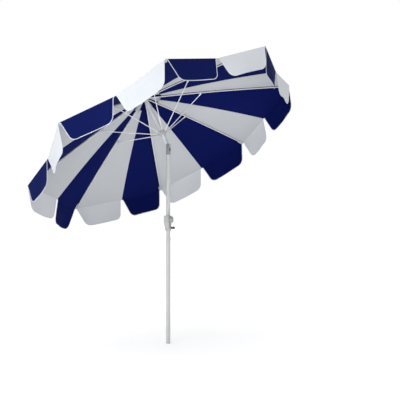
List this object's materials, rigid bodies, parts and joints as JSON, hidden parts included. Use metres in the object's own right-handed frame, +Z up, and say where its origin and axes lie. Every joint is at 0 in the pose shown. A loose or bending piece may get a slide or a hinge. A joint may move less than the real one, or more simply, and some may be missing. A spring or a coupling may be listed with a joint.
{
  "type": "beach umbrella",
  "caption": "Tilting beach umbrella with a crank lift: striped navy and white canopy with a vent cap and scalloped flaps on a two-piece pole.",
  "frame": {"origin": "centre of the pole's foot, on its flat lower face", "axes": "+Z up along the pole, -Y towards the side that the crank housing faces (17 degrees off it, towards -X), +X towards the side of the crank's knob; the canopy leans towards -X +Y"},
  "size_m": [2.2959, 2.3376, 2.475],
  "materials": {
    "white_coated_metal": "satin white coating",
    "steel": "plain",
    "white_plastic": "moulded, satin",
    "grey_plastic": "moulded, satin",
    "dark_plastic": "moulded, satin",
    "canopy_cloth": "woven polyester in navy and white panels",
    "cord": "braided"
  },
  "bodies": {
    "pole": {"end_plug": "grey_plastic", "lower_pole": "white_coated_metal", "snap_spring": "steel", "upper_pole": "white_coated_metal", "crank_housing_front": "white_plastic", "crank_housing_rear": "white_plastic", "housing_screw_lower": "steel", "housing_screw_upper": "steel", "tilt_lower_housing": "white_plastic", "tilt_pin": "steel", "button_spring": "steel", "lift_cord_lower": "cord"},
    "snap_button": {"snap_button": "steel"},
    "tilt_button": {"tilt_button": "dark_plastic"},
    "mast": {"tilt_upper_housing": "white_plastic", "upper_mast": "white_coated_metal", "top_hub": "white_plastic", "pulley_pin": "steel", "finial": "white_plastic", "vent_cap": "canopy_cloth", "lift_cord_upper": "cord", "lift_cord_drop": "cord"},
    "crank": {"crank_spool": "steel", "crank_arm": "grey_plastic", "knob_pin": "steel"},
    "crank_knob": {"crank_knob": "dark_plastic"},
    "pulley": {"pulley": "white_plastic"},
    "runner": {"runner": "white_plastic"},
    "rib_1": {"rib_1": "white_coated_metal", "rib_tip_1": "white_plastic", "canopy_gore_1": "canopy_cloth"},
    "strut_1": {"strut_1": "white_coated_metal"},
    "rib_2": {"rib_2": "white_coated_metal", "rib_tip_2": "white_plastic", "canopy_gore_2": "canopy_cloth"},
    "strut_2": {"strut_2": "white_coated_metal"},
    "rib_3": {"rib_3": "white_coated_metal", "rib_tip_3": "white_plastic", "canopy_gore_3": "canopy_cloth"},
    "strut_3": {"strut_3": "white_coated_metal"},
    "rib_4": {"rib_4": "white_coated_metal", "rib_tip_4": "white_plastic", "canopy_gore_4": "canopy_cloth"},
    "strut_4": {"strut_4": "white_coated_metal"},
    "rib_5": {"rib_5": "white_coated_metal", "rib_tip_5": "white_plastic", "canopy_gore_5": "canopy_cloth"},
    "strut_5": {"strut_5": "white_coated_metal"},
    "rib_6": {"rib_6": "white_coated_metal", "rib_tip_6": "white_plastic", "canopy_gore_6": "canopy_cloth"},
    "strut_6": {"strut_6": "white_coated_metal"},
    "rib_7": {"rib_7": "white_coated_metal", "rib_tip_7": "white_plastic", "canopy_gore_7": "canopy_cloth"},
    "strut_7": {"strut_7": "white_coated_metal"},
    "rib_8": {"rib_8": "white_coated_metal", "rib_tip_8": "white_plastic", "canopy_gore_8": "canopy_cloth"},
    "strut_8": {"strut_8": "white_coated_metal"}
  },
  "joints": [
    {"name": "tilt", "type": "hinge", "parent": "pole", "child": "mast", "pos_m": [0, 0, 1.72], "axis": [0.6293, 0.7771, 0], "range_deg": [0, 31.5]},
    {"name": "runner_slide", "type": "slide", "parent": "mast", "child": "runner", "axis": [0.4061, -0.3288, -0.8526], "range_m": [0, 0.098], "deforming": ["canopy_gore_1", "canopy_gore_2", "canopy_gore_3", "canopy_gore_4", "canopy_gore_5", "canopy_gore_6", "canopy_gore_7", "canopy_gore_8", "lift_cord_drop"]},
    {"name": "rib_1_hinge", "type": "hinge", "parent": "mast", "child": "rib_1", "pos_m": [-0.21945, 0.1777, 2.13103], "axis": [-0.6293, -0.7771, 0], "range_deg": [0, 7.62]},
    {"name": "strut_1_hinge", "type": "hinge", "parent": "rib_1", "child": "strut_1", "pos_m": [-0.45752, 0.37049, 1.77352], "axis": [-0.6293, -0.7771, 0], "range_deg": [-13, 0]},
    {"name": "rib_2_hinge", "type": "hinge", "parent": "mast", "child": "rib_2", "pos_m": [-0.22597, 0.15933, 2.13501], "axis": [0.0236, -0.9289, 0.3695], "range_deg": [0, 7.62]},
    {"name": "strut_2_hinge", "type": "hinge", "parent": "rib_2", "child": "strut_2", "pos_m": [-0.57646, 0.03552, 1.84606], "axis": [0.0236, -0.9289, 0.3695], "range_deg": [-13, 0]},
    {"name": "rib_3_hinge", "type": "hinge", "parent": "mast", "child": "rib_3", "pos_m": [-0.21858, 0.14355, 2.14461], "axis": [0.6626, -0.5366, 0.5225], "range_deg": [0, 7.62]},
    {"name": "strut_3_hinge", "type": "hinge", "parent": "rib_3", "child": "strut_3", "pos_m": [-0.44173, -0.25222, 2.02118], "axis": [0.6626, -0.5366, 0.5225], "range_deg": [-13, 0]},
    {"name": "rib_4_hinge", "type": "hinge", "parent": "mast", "child": "rib_4", "pos_m": [-0.2016, 0.1396, 2.15422], "axis": [0.9135, 0.1701, 0.3695], "range_deg": [0, 7.62]},
    {"name": "strut_4_hinge", "type": "hinge", "parent": "rib_4", "child": "strut_4", "pos_m": [-0.13227, -0.32417, 2.19631], "axis": [0.9135, 0.1701, 0.3695], "range_deg": [-13, 0]},
    {"name": "rib_5_hinge", "type": "hinge", "parent": "mast", "child": "rib_5", "pos_m": [-0.18499, 0.1498, 2.1582], "axis": [0.6293, 0.7771, 0], "range_deg": [0, 7.62]},
    {"name": "strut_5_hinge", "type": "hinge", "parent": "rib_5", "child": "strut_5", "pos_m": [0.17065, -0.13819, 2.26885], "axis": [0.6293, 0.7771, 0], "range_deg": [-13, 0]},
    {"name": "rib_6_hinge", "type": "hinge", "parent": "mast", "child": "rib_6", "pos_m": [-0.17847, 0.16817, 2.15422], "axis": [-0.0236, 0.9289, -0.3695], "range_deg": [0, 7.62]},
    {"name": "strut_6_hinge", "type": "hinge", "parent": "rib_6", "child": "strut_6", "pos_m": [0.28958, 0.19678, 2.19631], "axis": [-0.0236, 0.9289, -0.3695], "range_deg": [-13, 0]},
    {"name": "rib_7_hinge", "type": "hinge", "parent": "mast", "child": "rib_7", "pos_m": [-0.18585, 0.18396, 2.14461], "axis": [-0.6626, 0.5366, -0.5225], "range_deg": [0, 7.62]},
    {"name": "strut_7_hinge", "type": "hinge", "parent": "rib_7", "child": "strut_7", "pos_m": [0.15486, 0.48452, 2.02118], "axis": [-0.6626, 0.5366, -0.5225], "range_deg": [-13, 0]},
    {"name": "rib_8_hinge", "type": "hinge", "parent": "mast", "child": "rib_8", "pos_m": [-0.20283, 0.1879, 2.13501], "axis": [-0.9135, -0.1701, -0.3695], "range_deg": [0, 7.62]},
    {"name": "strut_8_hinge", "type": "hinge", "parent": "rib_8", "child": "strut_8", "pos_m": [-0.1546, 0.55647, 1.84606], "axis": [-0.9135, -0.1701, -0.3695], "range_deg": [-13, 0]},
    {"name": "crank_turn", "type": "hinge", "parent": "pole", "child": "crank", "pos_m": [-0.00979, -0.03204, 1.076], "axis": [0.9563, -0.2924, 0], "range_deg": [0, 468.2]},
    {"name": "pulley_turn", "type": "hinge", "parent": "mast", "child": "pulley", "pos_m": [-0.19201, 0.1513, 2.10385], "axis": [-0.3278, -0.9233, 0.2], "range_deg": [0, 401.5]},
    {"name": "knob_spin", "type": "hinge", "parent": "crank", "child": "crank_knob", "pos_m": [0.03802, -0.04666, 1.004], "axis": [0.9563, -0.2924, 0], "continuous": true},
    {"name": "tilt_button_press", "type": "slide", "parent": "pole", "child": "tilt_button", "axis": [-0.7771, 0.6293, 0], "range_m": [0, 0.003], "stiffness_N_per_m": 900, "springref_m": -0.001, "deforming": ["button_spring"]},
    {"name": "snap_button_press", "type": "slide", "parent": "pole", "child": "snap_button", "axis": [-1, 0, 0], "range_m": [0, 0.0038], "stiffness_N_per_m": 900, "springref_m": -0.001, "deforming": ["snap_spring"]}
  ],
  "couplings": [
    {"joint": "rib_1_hinge", "follows": "runner_slide", "rad_per_m": 1.3476},
    {"joint": "strut_1_hinge", "follows": "runner_slide", "rad_per_m": -2.3058},
    {"joint": "rib_2_hinge", "follows": "runner_slide", "rad_per_m": 1.3476},
    {"joint": "strut_2_hinge", "follows": "runner_slide", "rad_per_m": -2.3058},
    {"joint": "rib_3_hinge", "follows": "runner_slide", "rad_per_m": 1.3476},
    {"joint": "strut_3_hinge", "follows": "runner_slide", "rad_per_m": -2.3058},
    {"joint": "rib_4_hinge", "follows": "runner_slide", "rad_per_m": 1.3476},
    {"joint": "strut_4_hinge", "follows": "runner_slide", "rad_per_m": -2.3058},
    {"joint": "rib_5_hinge", "follows": "runner_slide", "rad_per_m": 1.3476},
    {"joint": "strut_5_hinge", "follows": "runner_slide", "rad_per_m": -2.3058},
    {"joint": "rib_6_hinge", "follows": "runner_slide", "rad_per_m": 1.3476},
    {"joint": "strut_6_hinge", "follows": "runner_slide", "rad_per_m": -2.3058},
    {"joint": "rib_7_hinge", "follows": "runner_slide", "rad_per_m": 1.3476},
    {"joint": "strut_7_hinge", "follows": "runner_slide", "rad_per_m": -2.3058},
    {"joint": "rib_8_hinge", "follows": "runner_slide", "rad_per_m": 1.3476},
    {"joint": "strut_8_hinge", "follows": "runner_slide", "rad_per_m": -2.3058},
    {"joint": "crank_turn", "follows": "runner_slide", "rad_per_m": 83.333},
    {"joint": "pulley_turn", "follows": "runner_slide", "rad_per_m": 71.429}
  ]
}
